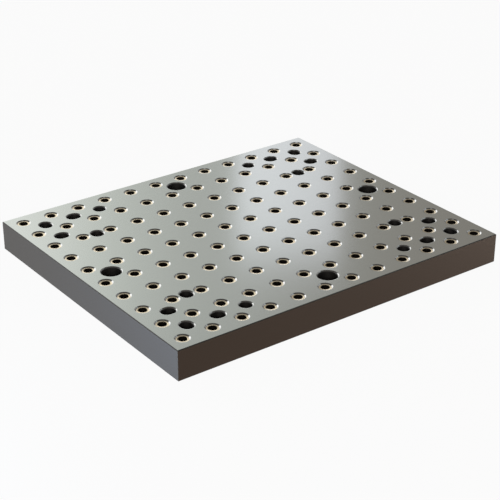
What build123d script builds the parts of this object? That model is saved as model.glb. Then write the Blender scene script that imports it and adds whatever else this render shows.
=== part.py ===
from build123d import *
import os

# Driving dimensions in millimetres. The base rests on Z = 0 with the plate's centre on the Z axis,
# the long side along X and the work face up.

# The plate and its grid of locating holes
pitch = 50.0
columns = 12
rows = 10
margin = 24.6          # outer holes to the sides
thickness = 48.6
edge_chamfer = 1.0     # on the rims of both broad faces
corner_break = 0.3     # on the four upright corners

# One grid hole, from the work face down: a cone-shaped mouth, a flat ring for a seat, then a plain bore
grid_bore = 13.5
seat_diameter = 19.0
mouth_diameter = 22.8
seat_depth = 1.3

# Table bolts: five holes by each corner, four of them slots that reach towards the middle
bolt_bore = 18.8
bolt_chamfer = 1.7
end_slot_run = 3.2     # lengthening of the three slots nearest the rim
inner_slot_run = 2.2   # lengthening of the slot set further in

# Dowel bores at the middle of each side
dowel_bore = 30.0
dowel_chamfer = 1.8

# Worked out from the above
length = (columns - 1) * pitch + 2 * margin
width = (rows - 1) * pitch + 2 * margin

# Stations between the grid holes, counted from the plate's centre
station_x = (columns / 2 - 1) * pitch
station_y = (rows / 2 - 1) * pitch
inner_y = station_y - 1.5 * pitch

# One hole of the grid as a half section turned about its own axis. The tool runs past both faces,
# and its mouth widens at the same slope above the work face.
past = 1.0
seat_radius = seat_diameter / 2
bore_radius = grid_bore / 2
seat_z = thickness - seat_depth
mouth_slope = (mouth_diameter / 2 - seat_radius) / seat_depth
mouth_top = thickness + past
mouth_radius = seat_radius + mouth_slope * (seat_depth + past)

with BuildPart() as grid_hole:
    with BuildSketch(Plane.XZ):
        with BuildLine():
            Polyline(
                (0, -past),
                (bore_radius, -past),
                (bore_radius, seat_z),
                (seat_radius, seat_z),
                (mouth_radius, mouth_top),
                (0, mouth_top),
                close=True,
            )
        make_face()
    revolve(axis=Axis.Z)

with BuildPart() as plate:
    # The blank, milled square. Both broad faces lose their sharp rims, then the upright corners
    # are broken.
    Box(length, width, thickness, align=(Align.CENTER, Align.CENTER, Align.MIN))
    chamfer(plate.faces().filter_by(Axis.Z).edges(), edge_chamfer)
    chamfer(plate.edges().filter_by(Axis.Z), corner_break)

    # Table bolt holes: one corner is drawn and mirrored to the other three. Each slot keeps its
    # outer end on the station and grows towards the middle.
    with BuildSketch(Plane.XY.offset(thickness)):
        with Locations((station_x - 2 * pitch, station_y)):
            Circle(bolt_bore / 2)
        with Locations((station_x - pitch - end_slot_run / 2, station_y)):
            SlotCenterToCenter(end_slot_run, bolt_bore)
        with Locations((station_x, station_y - end_slot_run / 2)):
            SlotCenterToCenter(end_slot_run, bolt_bore, rotation=90)
        with Locations((station_x - end_slot_run / 2, station_y - pitch)):
            SlotCenterToCenter(end_slot_run, bolt_bore)
        with Locations((station_x - pitch, inner_y - inner_slot_run / 2)):
            SlotCenterToCenter(inner_slot_run, bolt_bore, rotation=90)
        mirror(about=Plane.YZ)
        mirror(about=Plane.XZ)
    extrude(amount=-thickness, mode=Mode.SUBTRACT)
    broad_faces = [plate.faces().sort_by(Axis.Z)[0], plate.faces().sort_by(Axis.Z)[-1]]
    bolt_rims = [edge for face in broad_faces for wire in face.inner_wires() for edge in wire.edges()]
    chamfer(bolt_rims, bolt_chamfer)

    # Dowel bores at the middle of each side, bevelled at both ends
    with Locations((station_x, 0, thickness), (-station_x, 0, thickness)):
        Hole(dowel_bore / 2)
    with Locations((0, station_y, thickness), (0, -station_y, thickness)):
        Hole(dowel_bore / 2)
    dowel_rims = plate.edges().filter_by(lambda e: e.geom_type == GeomType.CIRCLE and e.radius == dowel_bore / 2)
    chamfer(dowel_rims, dowel_chamfer)

    # The grid of locating holes
    with GridLocations(pitch, pitch, columns, rows):
        add(grid_hole.part, mode=Mode.SUBTRACT)

os.makedirs("parts", exist_ok=True)
plate.part.label = "plate"
export_step(plate.part, "parts/plate.step")
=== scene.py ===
# %% [markdown]
# # A fixture plate and its finishes
#
# A fixture plate is a thick block of steel that lies on the table of a milling machine, and work is
# clamped to its square grid of holes. It is one piece, and the CAD model already has its whole shape, so
# nothing is added to it here. What is left for Blender is the skin that each machine leaves on the steel,
# with shade painted into the sides, rims and bores, and a small round studio whose light shows those skins.

import math
import bpy
import numpy as np
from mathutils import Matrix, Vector


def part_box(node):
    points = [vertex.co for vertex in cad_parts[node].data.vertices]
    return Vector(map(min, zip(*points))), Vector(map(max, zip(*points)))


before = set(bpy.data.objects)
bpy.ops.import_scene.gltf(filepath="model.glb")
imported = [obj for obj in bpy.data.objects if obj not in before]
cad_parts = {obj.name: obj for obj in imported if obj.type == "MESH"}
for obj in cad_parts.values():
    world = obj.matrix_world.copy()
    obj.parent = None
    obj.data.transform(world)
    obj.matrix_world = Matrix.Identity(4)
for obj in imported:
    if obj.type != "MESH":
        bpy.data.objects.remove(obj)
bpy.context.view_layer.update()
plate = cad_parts["plate"]
low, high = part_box("plate")
length, width, thickness = high - low
print("plate", [round(1000 * side, 1) for side in (length, width, thickness)], "mm")

# %% [markdown]
# ## Small helpers for node trees
#
# A material is a tree of nodes. Most nodes here are sums and mixes, so a few helpers keep the later cells
# short. They take plain numbers or the sockets of other nodes, and the last three give back the socket to
# use next.

# %% Helpers that add a node and wire it


def add_node(tree, kind, **settings):
    """Adds a node and sets its properties."""
    node = tree.nodes.new(kind)
    for name, value in settings.items():
        setattr(node, name, value)
    return node


def feed(tree, socket, value):
    """Links a socket to an input, or writes a plain value on it."""
    if hasattr(value, "links"):
        tree.links.new(value, socket)
    else:
        socket.default_value = value


def sums(tree, operation, *values):
    """Adds a Math node and gives back its result."""
    node = add_node(tree, "ShaderNodeMath", operation=operation)
    for socket, value in zip(node.inputs, values):
        feed(tree, socket, value)
    return node.outputs[0]


# Blender keeps one set of sockets for each kind of value in a Mix node, at these places
mix_places = {"FLOAT": (2, 3, 0), "VECTOR": (4, 5, 1), "RGBA": (6, 7, 2)}


def mix(tree, kind, mask, first, second):
    """Mixes two values: first where the mask is 0, second where it is 1."""
    node = add_node(tree, "ShaderNodeMix", data_type=kind)
    place_a, place_b, place_out = mix_places[kind]
    feed(tree, node.inputs[0], mask)
    feed(tree, node.inputs[place_a], first)
    feed(tree, node.inputs[place_b], second)
    return node.outputs[place_out]


def fade(tree, value, start, end):
    """A soft mask that goes from 0 at the start value to 1 at the end value."""
    node = add_node(tree, "ShaderNodeMapRange", interpolation_type="SMOOTHSTEP")
    node.inputs["From Min"].default_value = start
    node.inputs["From Max"].default_value = end
    tree.links.new(value, node.inputs["Value"])
    return node.outputs[0]


print("helpers: add_node, feed, sums, mix, fade")

# %% [markdown]
# ## Telling the surfaces apart
#
# On the real plate the work face is ground, the sides are milled, and each hole is turned, so every
# surface has its own sheen. The plate is one mesh, and painting its faces one by one would be slow and
# would break when the shape changes. Instead, a node group asks two things of each point, where it lies
# and which way the surface faces, and answers with masks. They hold for any number of holes.

# %% A group for the masks, with the point and the way it faces
zones = bpy.data.node_groups.new("plate zones", "ShaderNodeTree")
zone_names = (
    "work face", "long side", "short side", "rim", "bolt bevel", "mouth", "seat", "bore", "grid bore",
)
for name in zone_names:
    zones.interface.new_socket(name, in_out="OUTPUT", socket_type="NodeSocketFloat")
point = add_node(zones, "ShaderNodeSeparateXYZ")
facing = add_node(zones, "ShaderNodeSeparateXYZ")
zones.links.new(add_node(zones, "ShaderNodeTexCoord").outputs["Object"], point.inputs[0])
zones.links.new(add_node(zones, "ShaderNodeNewGeometry").outputs["True Normal"], facing.inputs[0])
x, y, z = point.outputs
across_x, across_y = [sums(zones, "ABSOLUTE", facing.outputs[axis]) for axis in (0, 1)]
up = facing.outputs[2]
steep = sums(zones, "ABSOLUTE", up)
print("group", zones.name, "with", len(zone_names), "masks")

# %% [markdown]
# ### Level surfaces
#
# Two kinds of surface look straight up: the work face itself, and the flat ring that lies a little below
# it in each grid hole. A limit halfway down to the ring parts them.

# %% Work face and seats
seat_depth = 0.0013
sunk = sums(zones, "LESS_THAN", z, thickness - 0.5 * seat_depth)
seat = sums(zones, "MULTIPLY", sunk, sums(zones, "GREATER_THAN", up, 0.95))
on_top = sums(zones, "SUBTRACT", 1.0, sunk)
work_face = sums(zones, "MULTIPLY", on_top, sums(zones, "GREATER_THAN", up, 0.99))
print("seats lie", 1000 * seat_depth, "mm below the work face")

# %% [markdown]
# ### Upright surfaces
#
# What stands upright is a side if it lies at the rim, and a bore if it doesn't. A side that faces along X
# is one of the two short ones. The bores of the grid are narrower than those for bolts and dowels, and
# they get a darker painted shade inside. The grid repeats every pitch, so X and Y are wrapped into one
# cell with a hole at its middle, and the distance to that middle tells a grid bore from the others.

# %% Sides and bores
pitch, rim_band, grid_bore_reach = 0.050, 0.002, 0.009
at_rim_x = sums(zones, "GREATER_THAN", sums(zones, "ABSOLUTE", x), length / 2 - rim_band)
at_rim_y = sums(zones, "GREATER_THAN", sums(zones, "ABSOLUTE", y), width / 2 - rim_band)
upright = sums(zones, "LESS_THAN", steep, 0.2)
at_rim = sums(zones, "MAXIMUM", at_rim_x, at_rim_y)
side = sums(zones, "MULTIPLY", upright, at_rim)
short_side = sums(zones, "MULTIPLY", side, sums(zones, "GREATER_THAN", across_x, across_y))
long_side = sums(zones, "SUBTRACT", side, short_side)
bore = sums(zones, "SUBTRACT", upright, side)
in_cell = [sums(zones, "SUBTRACT", sums(zones, "FLOORED_MODULO", axis, pitch), pitch / 2) for axis in (x, y)]
squares = [sums(zones, "POWER", part, 2.0) for part in in_cell]
from_axis = sums(zones, "SQRT", sums(zones, "ADD", *squares))
grid_bore = sums(zones, "MULTIPLY", bore, sums(zones, "LESS_THAN", from_axis, grid_bore_reach))
print("grid pitch", 1000 * pitch, "mm")

# %% [markdown]
# ### Bevels
#
# A bevel is neither level nor upright, and the broken upright corners are bevels too. The mouths of the
# grid holes slant in the same way, but they were turned last and are bright, so the distance to the
# hole's axis parts them from the bevels at the rims, bolt holes and dowel bores. In the photograph a bolt
# hole or a dowel bore has only a thin bright line along the upper edge of its bevel, so that mask fades
# out on the way down and the rest gets the bores' painted shade, which makes the bevel look narrower.

# %% Bevels and mouths, then all masks to the outputs
mouth_reach, bright_from, bright_to = 0.0125, 0.0014, 0.0006
not_upright = sums(zones, "GREATER_THAN", steep, 0.5)
slanted = sums(zones, "MULTIPLY", not_upright, sums(zones, "LESS_THAN", steep, 0.9))
diagonal = sums(zones, "GREATER_THAN", sums(zones, "MULTIPLY", across_x, across_y), 0.3)
corner = sums(zones, "MULTIPLY", diagonal, sums(zones, "MULTIPLY", at_rim_x, at_rim_y))
rim_bevel = sums(zones, "MULTIPLY", slanted, at_rim)
rim = sums(zones, "MAXIMUM", rim_bevel, corner)
mouth = sums(zones, "MULTIPLY", slanted, sums(zones, "LESS_THAN", from_axis, mouth_reach))
hole_bevel = sums(zones, "SUBTRACT", sums(zones, "SUBTRACT", slanted, mouth), rim_bevel)
upper_edge = fade(zones, z, thickness - bright_from, thickness - bright_to)
bolt_bevel = sums(zones, "MULTIPLY", hole_bevel, upper_edge)
# The lower part of each hole bevel takes the bores' painted shade, so the bevel looks narrower.
bore = sums(zones, "ADD", bore, sums(zones, "SUBTRACT", hole_bevel, bolt_bevel))
answers = add_node(zones, "NodeGroupOutput")
masks = work_face, long_side, short_side, rim, bolt_bevel, mouth, seat, bore, grid_bore
for name, mask in zip(zone_names, masks):
    zones.links.new(mask, answers.inputs[name])
print("masks:", ", ".join(zone_names))

# %% [markdown]
# ## The lay of the cut
#
# A grinding wheel and a milling cutter both leave fine lines along their path. Real grooves would need
# millions of faces, so the lines are noise that is stretched along the cut and squeezed across it. The
# group takes the two coordinates to use, because the lines run lengthwise on the work face and along each
# side.

# %% A group that draws fine lines
lay = bpy.data.node_groups.new("lay of the cut", "ShaderNodeTree")
for name in ("along", "across", "lines per metre"):
    lay.interface.new_socket(name, in_out="INPUT", socket_type="NodeSocketFloat")
lay.interface.new_socket("lines", in_out="OUTPUT", socket_type="NodeSocketFloat")
given = add_node(lay, "NodeGroupInput")
stretched = add_node(lay, "ShaderNodeCombineXYZ")
streaks_per_metre = 9.0
fine = sums(lay, "MULTIPLY", given.outputs["across"], given.outputs["lines per metre"])
lay.links.new(sums(lay, "MULTIPLY", given.outputs["along"], streaks_per_metre), stretched.inputs[0])
lay.links.new(fine, stretched.inputs[1])
noise = add_node(lay, "ShaderNodeTexNoise", noise_dimensions="2D")
noise.inputs["Scale"].default_value = 1.0
lay.links.new(stretched.outputs[0], noise.inputs["Vector"])
lay.links.new(noise.outputs[0], add_node(lay, "NodeGroupOutput").inputs["lines"])
print("group", lay.name)

# %% [markdown]
# ## The steel
#
# All surfaces are the same bare steel, so the material is fully metallic everywhere and only colour and
# roughness change. The ground face is pale and smooth enough to mirror the studio softly. The milled
# sides are dull, and their colour is darkened as painted shade, the long ones darker and browner and the
# short ones paler. The rims are darkened as painted shade lines, the mouths of the holes are bright where
# a tool has just cut them, the seats have a warm tint, and the bores are painted dark as shade.

# %% The masks and the lines, placed in the material
steel = bpy.data.materials.new("plate steel")
steel.use_nodes = True
tree = steel.node_tree
shader = tree.nodes["Principled BSDF"]
shader.inputs["Metallic"].default_value = 1.0
told = add_node(tree, "ShaderNodeGroup", node_tree=zones)
here = add_node(tree, "ShaderNodeSeparateXYZ")
tree.links.new(add_node(tree, "ShaderNodeTexCoord").outputs["Object"], here.inputs[0])


def cut_lines(along, across, lines_per_metre):
    """Places the lay of the cut with its own two coordinates and fineness."""
    node = add_node(tree, "ShaderNodeGroup", node_tree=lay)
    for name, value in (("along", along), ("across", across), ("lines per metre", lines_per_metre)):
        feed(tree, node.inputs[name], value)
    return node.outputs["lines"]


ground_lines = cut_lines(here.outputs[0], here.outputs[1], 900.0)
milled_lines = cut_lines(sums(tree, "ADD", here.outputs[0], here.outputs[1]), here.outputs[2], 700.0)
print("material", steel.name)

# %% Colours of the skins
ground = (0.592, 0.626, 0.586, 1)
# The side colours are painted shade: the milled steel darkened, the long sides more and browner than the
# short ones.
long_milled_painted_shade = (0.055, 0.038, 0.028, 1), (0.061, 0.043, 0.032, 1)
short_milled_painted_shade = (0.113, 0.105, 0.095, 1), (0.123, 0.115, 0.105, 1)
# The rims' dark colour is painted shade along the plate's edges.
dark = (0.120, 0.118, 0.115, 1)
bright = (0.72, 0.72, 0.71, 1)
turned = (0.93, 0.81, 0.58, 1)
# The bore colours are painted shade, deeper in the narrow grid bores.
shade = (0.150, 0.147, 0.143, 1)
deep_shade = (0.060, 0.050, 0.042, 1)
long_shaded_skin = mix(tree, "RGBA", milled_lines, *long_milled_painted_shade)
short_shaded_skin = mix(tree, "RGBA", milled_lines, *short_milled_painted_shade)
colour = ground
skins = (
    ("long side", long_shaded_skin), ("short side", short_shaded_skin), ("rim", dark), ("bolt bevel", bright),
    ("mouth", bright), ("seat", turned), ("bore", shade), ("grid bore", deep_shade),
)
for name, skin in skins:
    colour = mix(tree, "RGBA", told.outputs[name], colour, skin)
tree.links.new(colour, shader.inputs["Base Color"])
print("colours set for", ", ".join(zone_names))

# %% Roughness of the skins
rough = mix(tree, "FLOAT", ground_lines, 0.12, 0.14)
milled_rough = mix(tree, "FLOAT", milled_lines, 0.52, 0.58)
skins = (
    ("long side", milled_rough), ("short side", milled_rough), ("rim", 0.30), ("bolt bevel", 0.09),
    ("mouth", 0.09), ("seat", 0.22), ("bore", 0.45),
)
for name, skin in skins:
    rough = mix(tree, "FLOAT", told.outputs[name], rough, skin)
tree.links.new(rough, shader.inputs["Roughness"])
print("roughness set")

# %% [markdown]
# ## Softened edges
#
# No cut edge is perfectly sharp. A little round draws a thin light line along the near rim of each hole
# and a dark one along its far rim. Modelling it would put thousands of faces into each hole, so the Bevel
# node turns the surface's normal near the edges instead. The seats are rounded more than the work face,
# because that matches the photograph best.
#
# The bevels of the bolt holes and dowel bores are cut at 45 degrees, and there they would mirror the
# floor's horizon. In the photograph they mirror what stands above it, as a flatter bevel would, so their
# normal is tipped by about ten degrees towards the work face. Only the shading changes, and the mesh keeps
# its 45 degrees.

# %% Round the edges of the work face and the seats
normal = add_node(tree, "ShaderNodeNewGeometry").outputs["Normal"]
for name, radius in (("work face", 0.0010), ("seat", 0.0026)):
    rounding = add_node(tree, "ShaderNodeBevel", samples=8)
    rounding.inputs["Radius"].default_value = radius
    normal = mix(tree, "VECTOR", told.outputs[name], normal, rounding.outputs["Normal"])
print("edges of the work face and seats rounded")

# %% Tip the bolt bevels, then place the steel
upward_share = 0.3
raised = add_node(tree, "ShaderNodeVectorMath", operation="ADD")
raised.inputs[1].default_value = (0, 0, upward_share)
tree.links.new(normal, raised.inputs[0])
tipped = add_node(tree, "ShaderNodeVectorMath", operation="NORMALIZE")
tree.links.new(raised.outputs[0], tipped.inputs[0])
normal = mix(tree, "VECTOR", told.outputs["bolt bevel"], normal, tipped.outputs[0])
tree.links.new(normal, shader.inputs["Normal"])
plate.data.materials.clear()
plate.data.materials.append(steel)
print("steel placed on", plate.name)

# %% [markdown]
# ## The floor
#
# Plates like this are shown on white paper. The paper is a plain diffuse sheet that takes the plate's
# shadow. To the camera and in mirrors it is mostly its own even white, which keeps the background pale
# without more light on the steel. Under the plate it has no white of its own, so that the holes stay dark
# when they are looked into from above.

# %% Lay a white floor under the plate


def stage_mesh(name, corners, faces):
    """Makes a mesh object from corners and faces and links it to the scene."""
    mesh = bpy.data.meshes.new(name)
    mesh.from_pydata(corners.tolist(), [], faces.tolist())
    piece = bpy.data.objects.new(name, mesh)
    bpy.context.collection.objects.link(piece)
    return piece


floor_half, floor_gap = 30.0, 0.0005
square = np.array([(-1, -1), (1, -1), (1, 1), (-1, 1)])
floor_corners = np.column_stack([floor_half * square, np.full(4, -floor_gap)])
floor = stage_mesh("studio floor", floor_corners, np.array([[0, 1, 2, 3]]))
print("floor", 2 * floor_half, "m wide")

# %% White paper
paper = bpy.data.materials.new("white paper")
paper.use_nodes = True
tree = paper.node_tree
tree.nodes.clear()
lit = add_node(tree, "ShaderNodeBsdfDiffuse")
lit.inputs["Color"].default_value = (0.9, 0.9, 0.9, 1)
white = add_node(tree, "ShaderNodeEmission")
rays = add_node(tree, "ShaderNodeLightPath")
seen = sums(tree, "MAXIMUM", rays.outputs["Is Camera Ray"], rays.outputs["Is Glossy Ray"])
seen = sums(tree, "MAXIMUM", seen, rays.outputs["Is Transmission Ray"])
spot = add_node(tree, "ShaderNodeSeparateXYZ")
tree.links.new(add_node(tree, "ShaderNodeTexCoord").outputs["Object"], spot.inputs[0])
white_inset = 0.010
from_middle_x, from_middle_y = [sums(tree, "ABSOLUTE", spot.outputs[axis]) for axis in (0, 1)]
past_ends = sums(tree, "GREATER_THAN", from_middle_x, length / 2 - white_inset)
past_sides = sums(tree, "GREATER_THAN", from_middle_y, width / 2 - white_inset)
seen = sums(tree, "MULTIPLY", seen, sums(tree, "MAXIMUM", past_ends, past_sides))
own_white = 0.94
blend = add_node(tree, "ShaderNodeMixShader")
tree.links.new(sums(tree, "MULTIPLY", seen, own_white), blend.inputs[0])
tree.links.new(lit.outputs[0], blend.inputs[1])
tree.links.new(white.outputs[0], blend.inputs[2])
tree.links.new(blend.outputs[0], add_node(tree, "ShaderNodeOutputMaterial").inputs[0])
floor.data.materials.append(paper)
print("floor is", paper.name)

# %% [markdown]
# ## Lamps
#
# Metal shows what stands around it more than it shows light, so the lamps are few. One stands behind the
# camera and a weak cool one on the right. The two by the near sides are narrow strips that lie lower than
# the work face, so that it doesn't mirror them. A strip far behind the plate draws the soft sheen across
# the middle of the work face. A lamp is placed by its direction from the plate, and its power follows
# from how bright its panel should look.

# %% A soft lamp that faces the plate


def direction(azimuth, elevation):
    """The unit vector at an azimuth, from +X towards +Y, and an elevation above the floor, in degrees."""
    a, e = math.radians(azimuth), math.radians(elevation)
    return Vector((math.cos(a) * math.cos(e), math.sin(a) * math.cos(e), math.sin(e)))


def softbox(name, azimuth, elevation, distance, wide, tall, radiance, tint=(1, 1, 1)):
    """A rectangular lamp that faces the plate. Its power is its radiance times pi times its area."""
    lamp = bpy.data.lights.new(name, "AREA")
    lamp.shape = "RECTANGLE"
    lamp.size, lamp.size_y = wide, tall
    lamp.energy = radiance * math.pi * wide * tall
    lamp.color = tint
    holder = bpy.data.objects.new(name, lamp)
    bpy.context.collection.objects.link(holder)
    toward = direction(azimuth, elevation)
    holder.location = toward * distance
    holder.rotation_mode = "QUATERNION"
    holder.rotation_quaternion = toward.to_track_quat("Z", "Y")
    holder.visible_camera = False
    print(name, round(lamp.energy, 1), "W")


# %% Place the lamps
softbox("lamp behind the camera", 228, 25, 3.0, 1.8, 0.8, 4.0, (1.0, 0.92, 0.85))
softbox("cool lamp by the short side", 190, 1.55, 0.92, 0.35, 0.04, 150.0, (0.48, 0.66, 1.0))
softbox("lamp by the long side", -34, 1.33, 1.08, 0.35, 0.04, 110.0, (0.88, 0.95, 1.0))
softbox("strip behind the plate", 51.1, 18.2, 5.9, 0.60, 2.0, 0.56, (0.97, 0.97, 1.13))
softbox("cool lamp on the right", -13, 46, 4.0, 1.0, 1.0, 0.35, (0.85, 0.95, 1.0))

# %% [markdown]
# ## A round tent
#
# The work face is close to a mirror, so its shading is really a picture of the wall that it faces: dark
# to the right, pale to the left, with a soft step between them. A photographer hangs cloth for that. Here
# it is a round tent that closes above the plate, so that the steel has something to mirror from every
# side. One surface makes it: a profile that climbs the wall and runs in along the ceiling, carried once
# round.

# %% The tent's surface
tent_radius, tent_height = 6.0, 7.0


def tent_surface(turn, run):
    """Run 0 to 1 climbs the wall at full radius, and run 1 to 2 goes along the ceiling to the middle.
    Turn is the azimuth: X is radius times its cosine, and Y is radius times its sine."""
    radius = tent_radius * np.clip(2.0 - run, 0.0, 1.0)
    height = tent_height * np.clip(run, 0.0, 1.0)
    return np.stack([radius * np.cos(turn), radius * np.sin(turn), height], -1)


turns = np.linspace(0.0, 2 * np.pi, 121)
runs = np.array([0.0, 1.0, 1.999])
knots = tent_surface(*np.meshgrid(turns, runs, indexing="ij"))
index = np.arange(knots.shape[0] * knots.shape[1]).reshape(knots.shape[:2])
quads = np.stack([index[:-1, :-1], index[:-1, 1:], index[1:, 1:], index[1:, :-1]], -1).reshape(-1, 4)
tent = stage_mesh("studio tent", knots.reshape(-1, 3), quads)
print("tent", len(quads), "quads")

# %% [markdown]
# ### Cloth that is lit unevenly
#
# Three colour ramps run round the tent: one at its foot, one at the height that the work face mirrors, and
# one above. Their stops are azimuths in degrees. The foot is bright behind the plate, which lights the
# right-hand sides of the holes' mouths. The upper part is dimmer, which keeps their far sides dark.

# %% A ramp that goes once round the tent
cloth = bpy.data.materials.new("lit cloth")
cloth.use_nodes = True
tree = cloth.node_tree
tree.nodes.clear()
spot = add_node(tree, "ShaderNodeSeparateXYZ")
tree.links.new(add_node(tree, "ShaderNodeTexCoord").outputs["Object"], spot.inputs[0])
ramp_start = 25.0
azimuth = sums(tree, "ARCTAN2", spot.outputs[1], spot.outputs[0])
from_start = sums(tree, "SUBTRACT", azimuth, math.radians(ramp_start))
past_start = sums(tree, "FLOORED_MODULO", from_start, 2 * math.pi)
way_round = sums(tree, "DIVIDE", past_start, 2 * math.pi)


def round_ramp(*stops):
    """A colour ramp once round the tent. Each stop is an azimuth in degrees and a grey or a colour."""
    ramp = add_node(tree, "ShaderNodeValToRGB")
    tree.links.new(way_round, ramp.inputs[0])
    elements = ramp.color_ramp.elements
    while len(elements) < len(stops):
        elements.new(0.5)
    for element, (at, tone) in zip(elements, stops):
        element.position = (at - ramp_start) / 360.0
        element.color[:3] = np.broadcast_to(tone, 3).tolist()
    return ramp.outputs[0]


dim = (0.30, 0.27, 0.25)
warm = (0.50, 0.47, 0.44)
pale = (0.52, 0.51, 0.49)
print("ramps start at", ramp_start, "degrees")

# %% The three ramps and the ceiling
foot = round_ramp(
    (25, 0.12), (43, 0.20), (51, (1.50, 1.48, 1.44)), (62, 1.45), (74, 1.15), (100, 1.15), (112, 1.40),
    (140, 1.40), (155, 0.55), (250, warm), (320, pale), (360, 0.15), (385, 0.12),
)
mirrored = round_ramp(
    (25, 0.20), (36, dim), (43, (0.35, 0.322, 0.305)), (49, (0.40, 0.385, 0.37)), (55, (0.56, 0.56, 0.55)),
    (57.5, (0.60, 0.60, 0.59)), (60, (0.68, 0.685, 0.675)), (62.5, (0.80, 0.81, 0.79)),
    (65.5, (0.98, 0.98, 0.97)), (72, 1.25), (100, 1.50), (112, 0.85), (132, 0.75), (146, 0.55),
    (250, warm), (320, pale), (345, pale), (368, 0.38), (385, 0.20),
)
above = round_ramp(
    (25, 0.25), (38, 0.40), (75, 0.40), (88, 0.25), (100, 0.12), (150, 0.12),
    (170, 0.35), (305, 0.35), (322, 0.12), (360, 0.15), (385, 0.25),
)
ceiling = (0.080, 0.075, 0.070, 1)
height = spot.outputs[2]
tone = mix(tree, "RGBA", fade(tree, height, 1.3, 1.9), foot, mirrored)
tone = mix(tree, "RGBA", fade(tree, height, 3.8, 4.4), tone, above)
tone = mix(tree, "RGBA", fade(tree, height, 5.6, 6.6), tone, ceiling)
print("cloth toned from foot to ceiling")

# %% A pale patch in the ceiling, then the cloth is hung
patch_x, patch_y = 0.8, 1.3
middles = zip(spot.outputs, (patch_x, patch_y))
offsets = [sums(tree, "SUBTRACT", axis, middle) for axis, middle in middles]
squares = [sums(tree, "POWER", part, 2.0) for part in offsets]
from_patch = sums(tree, "SQRT", sums(tree, "ADD", *squares))
tone = mix(tree, "RGBA", fade(tree, from_patch, 2.1, 1.2), tone, (0.5, 0.5, 0.5, 1))
glow = add_node(tree, "ShaderNodeEmission")
tree.links.new(tone, glow.inputs[0])
tree.links.new(glow.outputs[0], add_node(tree, "ShaderNodeOutputMaterial").inputs[0])
tent.data.materials.append(cloth)
print("tent is", cloth.name)

# %% [markdown]
# ## The room outside
#
# The tent is closed, so the world behind it hardly counts. A dim warm grey keeps stray rays from turning
# black.

# %% World
world = bpy.data.worlds.new("studio room")
world.use_nodes = True
world.node_tree.nodes["Background"].inputs["Color"].default_value = (0.070, 0.060, 0.053, 1)
bpy.context.scene.world = world
print("world", world.name)

# %% [markdown]
# ## The camera
#
# The photograph looks down on one corner of the plate from a good distance, with a long lens. The
# direction, the distance and the lens were matched to the photograph's grid of holes, whose rows meet the
# picture at known angles.

# %% Place the camera
camera_data = bpy.data.cameras.new("camera")
camera_data.sensor_width = 36.0
camera_data.lens = 101.38
camera = bpy.data.objects.new("camera", camera_data)
bpy.context.collection.objects.link(camera)
aim = Vector((-0.0428, -0.0653, thickness))
look = direction(53.50, -26.63)
distance = 2.149
camera.location = aim - distance * look
camera.rotation_mode = "QUATERNION"
camera.rotation_quaternion = look.to_track_quat("-Z", "Y")
bpy.context.scene.camera = camera
bpy.context.scene.view_settings.view_transform = "Standard"
print("camera at", [round(c, 3) for c in camera.location])
